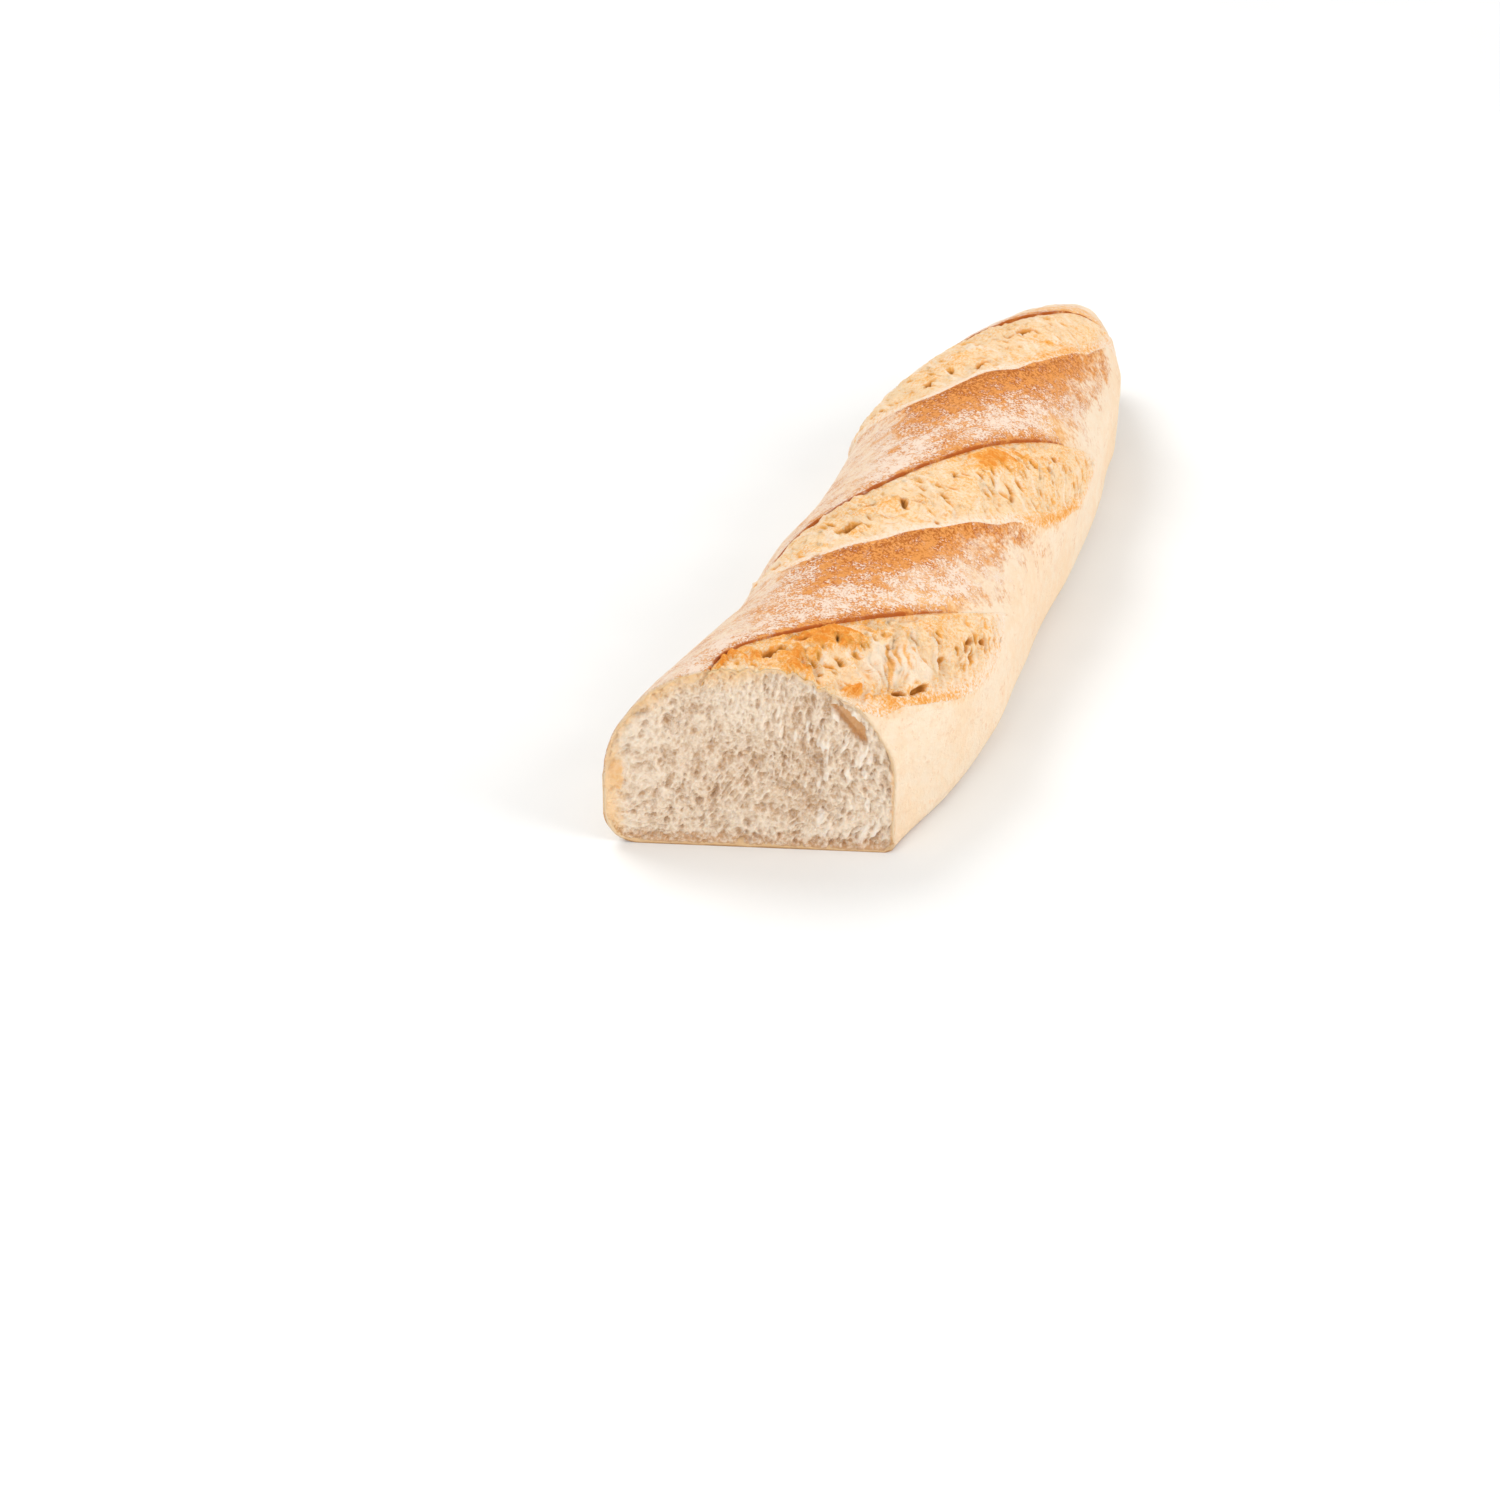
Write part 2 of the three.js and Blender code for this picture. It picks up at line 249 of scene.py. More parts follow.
def closing(y, reach):
    """Share of the full size left at y, closing to nothing at the tip."""
    q = np.clip(1 - (LOAF_LENGTH - y) / reach, 0, 1)
    return (1 - q ** TIP_BLUNTNESS) ** (1 / TIP_BLUNTNESS)


def half_section(half_width, height, wall_top, corner):
    """One half of a cross-section, from the middle of the base to the crest."""
    turn = np.linspace(0, math.pi / 2, 16)
    shoulder = np.linspace(0, math.pi / 2, 240)
    x = np.concatenate([[0], half_width - corner * (1 - np.sin(turn)), half_width * np.cos(shoulder)])
    rounded = wall_top + (height - wall_top) * np.sin(shoulder)
    z = np.concatenate([[0], corner * (1 - np.cos(turn)), rounded])
    return x, z


def ring(y):
    """Outline of the loaf at station y: distance from the crest, X, Y and Z.
    It runs from the middle of the base up the left, over the crest and down the right."""
    left, right, height = along(LEFT_EDGE, y), along(RIGHT_EDGE, y), along(HEIGHT, y)
    middle = (left + right) / 2
    crest = middle + along(CREST_SHIFT, y)
    corner = CUT_BASE_CORNER + (BASE_CORNER - CUT_BASE_CORNER) * min(y / CORNER_FADE, 1)
    left_x, left_z = half_section(crest - left, height, LEFT_WALL * height, BASE_CORNER)
    right_x, right_z = half_section(right - crest, height, RIGHT_WALL * height, corner)
    x = np.concatenate([crest - left_x, (crest + right_x)[-2::-1]])
    z = np.concatenate([left_z, right_z[-2::-1]])
    x = middle + (x - middle) * closing(y, TIP_REACH_WIDTH)
    rise = TIP_RISE * height
    z = rise + (z - rise) * closing(y, TIP_REACH_HEIGHT)
    true_y = y + CUT_SLOPE * max(1 - y / CUT_FADE, 0) * x
    steps = np.sqrt(np.diff(x) ** 2 + np.diff(true_y) ** 2 + np.diff(z) ** 2)
    arc = np.concatenate([[0], np.cumsum(steps)])
    return arc - arc[len(left_x) - 1], x, true_y, z


def on_loaf(stations, arcs):
    """Points of the smooth loaf at stations, one row each, and distances from the crest."""
    rows = []
    for y, row in zip(stations, arcs):
        arc, *outline = ring(y)
        rows.append(np.stack([np.interp(row, arc, values) for values in outline], -1))
    return np.array(rows)


def outward(points):
    """Unit normals of a grid of points on the loaf, rows along it and columns around it."""
    around = np.gradient(points, axis=1)
    lengthwise = np.gradient(points, axis=0)
    normal = np.cross(around, lengthwise)
    return normal / np.maximum(np.linalg.norm(normal, axis=-1, keepdims=True), 1e-9)


# The scores

def score_place(score, arc, y):
    """Place along a score and distance across it, from its ear towards its opening."""
    run = y - score["crossing"]
    place = arc * SCORE_SIN + run * SCORE_COS
    across = arc * SCORE_COS - run * SCORE_SIN
    across = across + 0.7 * noise(place / 19, place * 0 + score["crossing"], 5)
    if score["bend"]:
        start, side = score["bend"]
        across = across - 3.8 * np.maximum((place - start) * side / 10, 0) ** 2
    return place, across


def opening(score, place):
    """Width of a score's opening at a place along it."""
    later = place > score["widest"]
    reach = np.where(later, score["end"] - score["widest"], score["widest"] - score["start"])
    share = np.minimum(np.abs(place - score["widest"]) / reach, 1)
    shape = np.where(later, (1 - share ** 2) ** 0.7, (1 - share ** 5) ** 0.5)
    wave = 1 + 0.035 * noise(place / 9, place * 0 + score["crossing"] + 3, 8)
    return score["width"] * shape * wave


def to_ridge(score, place, across):
    """Distance from the ridge that ends an opening, positive inside the opening."""
    wide = opening(score, place)
    slope = opening(score, place + 0.5) - opening(score, place - 0.5)
    return (wide - across) / np.sqrt(1 + slope ** 2)


def ear_share(score, place):
    """Share of its full height that a score's ear has at a place along it."""
    start, end = score["ear"]
    return smooth(place, start, start + EAR_TAPER) * (1 - smooth(place, end - EAR_TAPER, end))


def upper_share(z):
    """The relief fades out above the side walls."""
    return smooth(z, 0.25 * HEIGHT[0], 0.55 * HEIGHT[0])


def crust_lift(arc, y):
    """Height of the crust above the smooth loaf, and how far the ears lean over the openings."""
    lift = 0.22 * fractal(arc / 7, y / 7, 21, 3) + 0.35 * fractal(arc / 24, y / 30, 23, 2)
    lift += 0.6 * fractal(arc / 5, y / 5, 29, 3) * smooth(y, 225, 255)
    lean = np.zeros(arc.shape)
    for score in SCORES:
        place, across = score_place(score, arc, y)
        wide = opening(score, place)
        ear = ear_share(score, place) * (1 + 0.4 * fractal(place / 6, place * 0 + 2, 31, 3))
        strength = wide / score["width"]
        behind = across <= 0.02
        lift += np.where(behind, EAR_HEIGHT * ear * np.exp(np.minimum(across, 0) / EAR_SPREAD), 0)
        lean += np.where(behind, EAR_OVERHANG * ear * np.exp(np.minimum(across, 0) / 2.4), 0)
        edge = to_ridge(score, place, across)
        inside = smooth(across, 0, 0.7) * smooth(edge, 0, 3)
        lift -= RECESS * np.sqrt(strength) * inside
        lift += RIDGE_HEIGHT * strength * np.exp(-(edge / RIDGE_SPREAD) ** 2)
    return lift, lean


def oval(along_run, beside, half_length, half_width, turn):
    """Distance from the middle of a turned oval, 1 on its edge."""
    c, s = math.cos(math.radians(turn)), math.sin(math.radians(turn))
    return np.hypot((along_run * c - beside * s) / half_length, (along_run * s + beside * c) / half_width)


def hole_depth(holes, place, across):
    """Depth of the larger holes, with ragged rims."""
    depth = np.zeros(place.shape)
    ragged = 0.6 * fractal(place / 2, across / 2, 61, 3)
    for at, beside, half_length, half_width, turn, deep in holes:
        distance = oval(place - at, across - beside, half_length, half_width, turn) + ragged
        depth = np.maximum(depth, 1.2 * deep * (1 - smooth(distance, 0.45, 1.15)))
    return depth


def crag_height(crags, place, across):
    """Height of the crags that stand out of an opening."""
    height = np.zeros(place.shape)
    ragged = 0.45 * noise(place / 1.8, across / 1.8, 63)
    for at, beside, half_length, half_width, turn, tall in crags:
        distance = oval(place - at, across - beside, half_length, half_width, turn) + ragged
        height = np.maximum(height, tall * (1 - smooth(distance, 0.1, 1.5)))
    return height


def toasting(patches, place, across):
    """How toasted an opening is, from its patches."""
    amount = np.zeros(place.shape)
    for at, beside, half_length, half_width, share in patches:
        amount += share * np.exp(-oval(place - at, across - beside, half_length, half_width, 0) ** 2)
    return amount


def torn_pores(bend_place, across, middle, patchy):
    """The random pores: large slits mostly in an opening's middle, and small ones in patches."""
    nearest, number = cells((bend_place - 0.25 * across) / 2.0, across / 7.0, 49)
    large = (1 - smooth(nearest, 0.06, 0.14 + 0.36 * number ** 1.5)) * (number > 0.33) * middle
    nearest, number = cells(bend_place / 1.0, across / 3.2, 51)
    small = (1 - smooth(nearest, 0.06, 0.36)) * (number > 0.6) * patchy
    return large, small


def torn_features(number, arc, y):
    """What the torn crust in an opening is made of, at these places."""
    score = SCORES[number]
    f = SimpleNamespace(score=score)
    f.place, f.across = score_place(score, arc, y)
    place, across = f.place, f.across
    f.wide = opening(score, place)
    f.ear = ear_share(score, place)
    f.strength = f.wide / score["width"]
    f.inner = np.clip(across, 0, f.wide)
    f.edge = to_ridge(score, place, across)
    f.skirt = smooth(f.edge, 0.5, score["skirt"])
    f.within = smooth(across, 0.2, 2.2) * f.skirt
    f.fibres = np.zeros(place.shape)
    if number == 0:
        distance = oval(place - FIBRES["place"], across - FIBRES["across"],
                        FIBRES["half_length"], FIBRES["half_width"], FIBRES["turn"])
        f.fibres = 1 - smooth(distance + 0.35 * noise(place / 3, across / 5, 57), 0.35, 1.3)
    bend_place = place + 0.15 * across + 2.2 * noise(place / 9, across / 9, 44)
    bend_place += 0.7 * noise(place / 3, across / 3, 46)
    f.crag = fractal(place / 8, across / 8, 41, 3)
    f.ridges = 1 - 2.6 * np.abs(fractal(bend_place / 4.5, across / 11, 43, 2))
    f.small_ridges = 1 - 2.6 * np.abs(fractal(bend_place / 1.9, across / 5.5, 48, 2))
    f.strands = fractal(bend_place / 1.1, across / 8, 45, 2)
    f.fine = fractal(place / 1.2, across / 1.6, 47, 3)
    f.patchy = smooth(fractal(place / 10, across / 10, 55, 2), -0.35, 0.35)
    middle = np.exp(-((f.inner / np.maximum(f.wide, 1) - 0.5) / 0.33) ** 2)
    f.pores, f.small_pores = torn_pores(bend_place, across, middle, f.patchy)
    f.holed = hole_depth(HOLES[number], place, across)
    f.crags = crag_height(CRAGS[number], place, across)
    f.toasted = toasting(TOASTED[number], place, across)
    return f


def torn_lift(f):
    """Height of the torn crust above the smooth loaf."""
    rough = f.score["rough"]
    lift = -GROOVE_DEPTH * f.ear * np.exp(-f.inner / GROOVE_SPREAD)
    lift += f.strength * SWELL * np.sin(math.pi * f.inner / np.maximum(f.wide, 0.1))
    lift += RIDGE_HEIGHT * f.strength * np.exp(-(np.maximum(f.edge, 0) / RIDGE_SPREAD) ** 2)
    lift += f.within * (0.4 + 0.7 * rough) * f.crag
    lift += f.within * (0.12 + 1.1 * rough) * (f.ridges - 0.3) * (0.35 + 0.65 * f.patchy)
    lift += f.within * (0.16 + 0.45 * rough) * (f.small_ridges - 0.3)
    lift += f.within * (0.10 + 0.12 * rough + 0.45 * f.fibres) * f.strands
    lift += f.within * (0.06 + 0.14 * rough) * f.fine
    lift += f.crags * f.skirt
    lift -= (0.3 + 0.7 * f.within) * (1.2 * f.pores + 0.35 * f.small_pores) * (1 - 0.6 * f.fibres)
    lift -= smooth(f.edge, 0, 1.5) * f.holed
    return lift - (0.9 * np.maximum(-f.across, 0) + 0.5 * np.clip(-f.edge, 0, 4))


def torn_masks(f):
    """Masks of the torn crust: toast, hollow shade (painted shade in holes, pores and the valleys between
    fibres), whiteness, and how far inside the opening.
    """
    score = f.score
    crests = smooth(f.ridges, 0.2, 0.95) + 0.5 * smooth(f.small_ridges, 0.2, 0.95)
    relief = 0.25 * crests + 0.3 * f.crag + 0.35 * f.crags + 0.15 * f.fine
    toast = 0.08 + f.toasted * (0.22 + 1.3 * relief) + (0.15 + 0.3 * score["rough"]) * relief
    toast += 0.22 * fractal(f.place / 6, f.across / 6, 53, 3)
    toast = (toast - 0.7 * f.fibres) * (0.35 + 0.65 * f.skirt)
    ridge_toast = np.exp(-((f.edge - 1.2) / 2.0) ** 2)
    ridge_toast *= smooth(f.place, score["widest"] - 5, score["widest"] + 25)
    ridge_toast *= 1 - 0.7 * smooth(f.place, score["end"] - 35, score["end"] - 15)
    ear_toast = f.ear * smooth(f.place, score["ear"][0] + 14, score["ear"][0] + 24)
    toast += 0.6 * ridge_toast + 0.9 * ear_toast * np.exp(-f.inner / 0.8)
    # Holes, pores and the valleys between the fibres are coloured orange to brown: painted shade.
    hollow_shade = np.clip(f.holed / 2.6, 0, 1) + (0.75 * f.pores + 0.3 * f.small_pores) * (1 - 0.6 * f.fibres)
    hollow_shade += 0.4 * f.fibres * smooth(-f.strands, 0.05, 0.5)
    whiteness = np.clip(f.fibres + 0.8 * f.within * smooth(f.strands, 0.05, 0.45), 0, 1)
    fading = smooth(f.strength, 0.1, 0.6)
    masks = [toast * (0.4 + 0.6 * fading), hollow_shade * (0.5 + 0.5 * fading), whiteness, f.skirt * fading]
    return np.clip(np.stack(masks, -1), 0, 1)


# Meshes

def add_object(name, data):
    made = bpy.data.objects.new(name, data)
    bpy.context.scene.collection.objects.link(made)
    return made


class Shell:
    """Collects points, their masks, triangles and the triangles' places on the bake map."""

    def __init__(self):
        self.points, self.masks, self.faces, self.maps = [], [], [], []
        self.count = 0

    def add(self, points, masks):
        shape = points.shape[:-1]
        ids = self.count + np.arange(int(np.prod(shape))).reshape(shape)
        self.count += ids.size
        self.points.append(points.reshape(-1, 3))
        self.masks.append(np.broadcast_to(masks, shape + (masks.shape[-1],)).reshape(-1, masks.shape[-1]))
        return ids

    def triangles(self, a, b, c, map_a, map_b, map_c):
        self.faces.append(np.stack([a, b, c], -1).reshape(-1, 3))
        self.maps.append(np.stack([map_a, map_b, map_c], -2).reshape(-1, 3, 2))

    def grid(self, ids, area, closed=False):
        """Triangles of a grid of points. Its diagonals run the way the scores do."""
        if closed:
            ids = np.concatenate([ids, ids[:, :1]], 1)
        rows, columns = ids.shape
        low_u, low_v, high_u, high_v = area
        u, v = np.meshgrid(np.linspace(low_u, high_u, columns), np.linspace(low_v, high_v, rows))
        uv = np.stack([u, v], -1)
        low, high = slice(None, -1), slice(1, None)
        corners = [(low, low), (low, high), (high, high), (high, low)]
        a, b, c, d = (ids[corner] for corner in corners)
        ma, mb, mc, md = (uv[corner] for corner in corners)
        self.triangles(a, b, c, ma, mb, mc)
        self.triangles(a, c, d, ma, mc, md)

    def fan(self, loop, centre, area):
        """Triangles from a closed loop of points to one point."""
        turn = np.linspace(0, 2 * math.pi, len(loop) + 1)
        middle = np.array([area[0] + area[2], area[1] + area[3]]) / 2
        reach = np.array([area[2] - area[0], area[3] - area[1]]) / 2
        uv = middle + reach * np.stack([np.cos(turn), np.sin(turn)], -1)
        hub = np.broadcast_to(middle, uv[1:].shape)
        self.triangles(np.full(len(loop), centre), np.roll(loop, -1), loop, hub, uv[1:], uv[:-1])

    def close(self, ids, points, normal, masks, tucks):
        """Closes a sheet. Its rim is tucked in by steps, each so far down, so far back from the
        cut and by some share towards its middle."""
        outer = np.concatenate([ids[0, :-1], ids[:-1, -1], ids[-1, :0:-1], ids[:0:-1, 0]])
        pick = outer - ids[0, 0]
        rim, rim_normal = points.reshape(-1, 3)[pick], normal.reshape(-1, 3)[pick]
        rim_masks = masks.reshape(-1, masks.shape[-1])[pick]
        from_cut = np.maximum(rim[:, 1] - CUT_SLOPE * rim[:, 0], 0)
        height = 0.05 / len(tucks)
        for k, (down, back, share) in enumerate(tucks):
            tucked = rim - down * rim_normal + share * (rim.mean(0) - rim)
            tucked[:, 1] += back * np.exp(-from_cut / (1.6 * back))
            inner = self.add(tucked, rim_masks)
            strip = np.stack([np.append(inner, inner[0]), np.append(outer, outer[0])])
            self.grid(strip, (0.1, height * k, 1.0, height * (k + 0.9)))
            outer = inner
        hub = self.add(tucked.mean(0)[None], rim_masks[:1])
        self.fan(outer, hub[0], (0.0, 0.0, 0.05, 0.05))

    def build(self, name, material, mask_names):
        points = np.concatenate(self.points)
        masks = np.concatenate(self.masks)
        faces = np.concatenate(self.faces)
        maps = np.concatenate(self.maps)
        mesh = bpy.data.meshes.new(name)
        mesh.vertices.add(len(points))
        mesh.vertices.foreach_set("co", ((points - ROW_ORIGIN) * MM).ravel())
        mesh.loops.add(faces.size)
        mesh.loops.foreach_set("vertex_index", faces.ravel())
        mesh.polygons.add(len(faces))
        mesh.polygons.foreach_set("loop_start", np.arange(0, faces.size, 3))
        mesh.polygons.foreach_set("use_smooth", np.ones(len(faces), bool))
        mesh.update(calc_edges=True)
        layer = mesh.uv_layers.new(name="OFBake")
        layer.uv.foreach_set("vector", maps.ravel())
        for k, mask_name in enumerate(mask_names):
            attribute = mesh.attributes.new(mask_name, "FLOAT_COLOR", "POINT")
            attribute.data.foreach_set("color", masks[:, 4 * k:4 * k + 4].ravel())
        mesh.materials.append(material)
        piece = add_object(name, mesh)
        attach(piece, "root")
        return piece


def crust_arcs(y, arc, x, true_y):
    """Distances from the crest of the crust's points at a station, with one on each ear."""
    share = np.linspace(0, 1, CRUST_COLUMNS + 1)
    share = np.where(share < 0.8, share * 0.6 / 0.8, 0.6 + (share - 0.8) * 2)
    columns = np.concatenate([arc[0] * share[:0:-1], arc[-1] * share[:-1]])
    for score in SCORES:
        place, across = score_place(score, arc, true_y)
        shown = (ear_share(score, place) > 0) & (np.abs(arc) < 70)
        crossing = np.flatnonzero(shown[1:] & (across[:-1] <= 0) & (across[1:] > 0))
        if len(crossing):
            k = crossing[0]
            target = np.interp(0, across[k:k + 2], arc[k:k + 2])
            nearest = columns[np.argmin(np.abs(columns - target))]
            columns = columns + (target - nearest) * np.exp(-((columns - target) / 1.5) ** 2)
    return columns


def crust_stations():
    """Stations of the crust's rows, closer together towards the tip."""
    turn = np.linspace(0, 1, CRUST_ROWS)
    start = LOAF_LENGTH - TIP_REACH_HEIGHT / 2
    body = turn[turn < 0.86] / 0.86
    tip = (turn[turn >= 0.86] - 0.86) / 0.14
    tip_y = start + (LOAF_LENGTH - start) * np.sin(tip * math.pi / 2 * 0.985)
    return np.concatenate([start * body, tip_y])


def mark_score(m, score, arc, y):
    """Adds a score's marks to the crust's masks: its ear, the flour that drifted behind it, the
    dark band and golden seam beyond its ridge, and the golden tail of its ear."""
    place, across = score_place(score, arc, y)
    widest, strength = score["widest"], opening(score, place) / score["width"]
    ear = ear_share(score, place)
    waver = 0.75 + 0.5 * fractal(place / 4, place * 0 + 9, 77, 3)
    m.browned += 0.6 * ear * np.exp(np.minimum(across, 0) / 2.2) * (across < 1)
    beside_ear = np.exp(-(np.minimum(across + 0.1, 0) / 0.8) ** 2) * (across < 1.6)
    m.line = np.maximum(m.line, beside_ear * smooth(ear, 0.0, 0.3) * waver)
    drift = smooth(-across, 1.0, 4) * (1 - smooth(-across, 11, 24))
    m.flour += 0.45 * drift * smooth(place, score["ear"][0] + 8, score["ear"][0] + 34) * m.top
    beyond = -to_ridge(score, place, across)
    beyond_ridge = smooth(beyond + m.blotch, -0.8, 1.4)
    band = beyond_ridge * np.exp(-np.maximum(beyond - 1, 0) / 6) * np.sqrt(strength)
    m.dark += band * (1 - smooth(arc, m.upper - 20, m.upper)) * smooth(arc, m.lower - 5, m.lower + 3)
    m.flour -= 0.28 * band
    seam = np.exp(-((beyond - 0.5) / 1.8) ** 2) * np.sqrt(strength)
    m.golden += 0.5 * seam * smooth(place, widest - 5, widest + 25)
    tail = np.exp(-((place - score["ear"][1] + 16) / 17) ** 2)
    m.golden += 0.75 * tail * smooth(-across, -2, 1) * (1 - smooth(-across, 5, 16))


def crust_masks(arc, y, z):
    """Masks of the crust: browned, flour, ear line, dark, and golden, base, rim, streak."""
    m = SimpleNamespace()
    m.blotch = fractal(arc / 12, y / 12, 71, 4)
    run = arc * SCORE_SIN + y * SCORE_COS
    side = arc * SCORE_COS - y * SCORE_SIN
    streak = 0.5 + 0.5 * fractal(run / 9, side / 1.6, 73, 3)
    clumps = 0.5 + 0.5 * fractal(run / 7, side / 4, 75, 4)
    m.lower = np.interp(y, BROWN_STATIONS, BROWN_LEFT)
    m.upper = np.interp(y, BROWN_STATIONS, BROWN_RIGHT)
    m.top = smooth(arc + 9 * m.blotch, m.lower - 9, m.lower + 5)
    m.top *= 1 - smooth(arc + 11 * m.blotch, m.upper - 5, m.upper + 9)
    shoulder = smooth(arc, -62, -34) * (1 - smooth(arc, m.lower - 6, m.lower + 8))
    right_end = smooth(arc + 5 * m.blotch, m.upper - 20, m.upper - 2)
    left_end = 1 - smooth(arc + 5 * m.blotch, m.lower - 2, m.lower + 16)
    m.browned = 0.9 * m.top * (1 - 0.45 * right_end) + 0.4 * shoulder
    m.flour = (0.24 + 0.2 * left_end) * m.top + 0.55 * shoulder
    m.golden = 0.5 * m.top * right_end
    m.line = np.zeros(arc.shape)
    m.dark = np.zeros(arc.shape)
    for score in SCORES:
        mark_score(m, score, arc, y)
    after_last = smooth(y - arc * 0.67, 236, 246)
    browned = m.browned * (1 - 0.8 * after_last)
    flour = np.maximum(m.flour, 0) * (1 - 0.4 * after_last) * (0.45 + 1.1 * clumps)
    dark = m.dark * (1 - after_last)
    base = 1 - smooth(z, 0.3, 1.8)
    rim = np.zeros(arc.shape)
    return np.clip(np.stack([browned, flour, m.line, dark, m.golden, base, rim, streak], -1), 0, 1)


def crust_points(arcs, smooth_points):
    """The crust's points: the smooth loaf with its relief and its leaning ears. Where the torn
    crust covers it at the cut, its edge is sunk behind the cut."""
    normal = outward(smooth_points)
    around = np.gradient(smooth_points, axis=1)
    around /= np.maximum(np.linalg.norm(around, axis=-1, keepdims=True), 1e-9)
    y, z = smooth_points[..., 1], smooth_points[..., 2]
    fade = upper_share(z) * closing(y, TIP_REACH_WIDTH)
    lift, lean = crust_lift(arcs, y)
    creases = np.abs(fractal(arcs / 9, y / 42, 33, 2))
    wall = (0.4 * (fractal(arcs / 22, y / 34, 25, 2) - 0.6) - 0.8 * creases) * smooth(z, 1, 6)
    lift = lift * fade + wall * (1 - fade)
    lean_way = around * SCORE_COS - np.array([0, 1, 0]) * SCORE_SIN
    points = smooth_points + normal * lift[..., None] + lean_way * (lean * fade)[..., None]
    points[..., 2] = np.maximum(points[..., 2], 0)
    points[0, :, 1] = CUT_SLOPE * points[0, :, 0]
    place, across = score_place(SCORES[0], arcs, y)
    sunk = smooth(across, 0.3, 0.9) * smooth(to_ridge(SCORES[0], place, across), 0, 1.5) * fade
    from_cut = points[..., 1] - CUT_SLOPE * points[..., 0]
    points[..., 1] += SUNK_EDGE * sunk * np.exp(-from_cut / (1.6 * SUNK_EDGE))
    return points


def make_crust(material):
    stations = crust_stations()
    arcs = np.array([crust_arcs(y, *ring(y)[:3]) for y in stations])
    smooth_points = on_loaf(stations, arcs)
    points = crust_points(arcs, smooth_points)
    masks = crust_masks(arcs, smooth_points[..., 1], smooth_points[..., 2])

    shell = Shell()
    centre = points[0].mean(0)
    away = centre - points[0]
    away /= np.linalg.norm(away, axis=-1, keepdims=True)
    ragged = CRUST_THICKNESS * (1 + 0.6 * fractal(arcs[0] / 2, arcs[0] * 0, 27, 3))
    rims = [points[0] + away * inset + np.array([0, back, 0])
            for inset, back in [(4.5, 5.0), (ragged[:, None], 0.1)]]
    rim_masks = masks[0].copy()
    rim_masks[:, 6] = 1
    ids = shell.add(np.concatenate([rims, points]), np.concatenate([[rim_masks, rim_masks], masks]))
    shell.grid(ids, (0.0, 0.04, 1.0, 1.0), closed=True)
    back = shell.add(centre[None] + [[0, 6, 0]], rim_masks[:1])
    shell.fan(ids[0], back[0], (0.0, 0.0, 0.035, 0.035))
    tip_x = (along(LEFT_EDGE, LOAF_LENGTH) + along(RIGHT_EDGE, LOAF_LENGTH)) / 2
    tip_z = TIP_RISE * along(HEIGHT, LOAF_LENGTH)
    tip = shell.add(np.array([[tip_x, LOAF_LENGTH, tip_z]]), masks[-1, :1])
    shell.fan(ids[-1][::-1], tip[0], (0.05, 0.0, 0.085, 0.035))
    return shell.build("crust", material, ["tone", "tint"])


def opening_rows(score):
    """Stations that a score's opening covers, with the ends of its stretch at each."""
    rows = []
    for y in np.arange(0, LOAF_LENGTH - 4, TORN_STEP / SCORE_COS * 1.15):
        arc, _, true_y, z = ring(y)
        place, across = score_place(score, arc, true_y)
        inside = np.minimum(across, opening(score, place) - across)
        inside = np.where(np.abs(arc) < CRUST_REACH, inside, -1)
        hits = np.flatnonzero(inside > 0)
        if len(hits):
            a, b = hits[0], hits[-1]
            start = np.interp(0, inside[[a - 1, a]], arc[[a - 1, a]])
            end = np.interp(0, -inside[[b, b + 1]], arc[[b, b + 1]])
            rows.append((y, start - UNDER_EAR, end + UNDER_RIDGE))
    rows = np.array(rows)
    step = rows[1, 0] - rows[0, 0]
    runs = np.arange(1, ROWS_UNDER_CRUST + 1)[:, None] * [step, 0, 0]
    before = (rows[0] - runs)[::-1] if rows[0, 0] > 0 else rows[:0]
    after = (rows[-1] + runs) if rows[-1, 0] < LOAF_LENGTH - 8 else rows[:0]
    return np.concatenate([before, rows, after])


def make_torn(number, material):
    rows = opening_rows(SCORES[number])
    columns = int((rows[:, 2] - rows[:, 1]).max() / TORN_STEP)
    arcs = np.linspace(rows[:, 1], rows[:, 2], columns, axis=1)
    smooth_points = on_loaf(rows[:, 0], arcs)
    normal = outward(smooth_points)
    features = torn_features(number, arcs, smooth_points[..., 1])
    lift, masks = torn_lift(features), torn_masks(features)
    z = smooth_points[..., 2]
    fade = upper_share(z) * closing(smooth_points[..., 1], TIP_REACH_WIDTH)
    points = smooth_points + normal * (lift * fade - 0.4 * (1 - fade))[..., None]
    if rows[0, 0] == 0:
        points[0, :, 1] = CUT_SLOPE * points[0, :, 0]

    shell = Shell()
    top = shell.add(points, masks)
    shell.grid(top, (0.0, 0.06, 1.0, 1.0))
    shell.close(top, points, normal, masks, TORN_TUCKS)
    return shell.build(f"torn_{number + 1}", material, ["tone"])


# The crumb at the cut

def cut_outline():
    """Outline of the crumb in the cut face, inside the crust: X and Z around it."""
    arc, x, true_y, z = ring(0)
    keep = np.linspace(arc[0], arc[-1], OUTLINE_POINTS)
    points = on_loaf([0, 0.5], np.array([keep, keep]))
    normal = outward(points)[0]
    lift, _ = crust_lift(keep, points[0, :, 1])
    place, across = score_place(SCORES[0], keep, points[0, :, 1])
    torn = torn_lift(torn_features(0, keep, points[0, :, 1]))
    in_opening = (across > 0) & (across < opening(SCORES[0], place))
    lift = np.where(in_opening, torn, lift) * upper_share(points[0, :, 2])
    inset = np.where(in_opening, TORN_INSET, CRUMB_INSET)
    outline = points[0] + normal * (lift - inset)[:, None]
    return outline[:, 0], outline[:, 2]


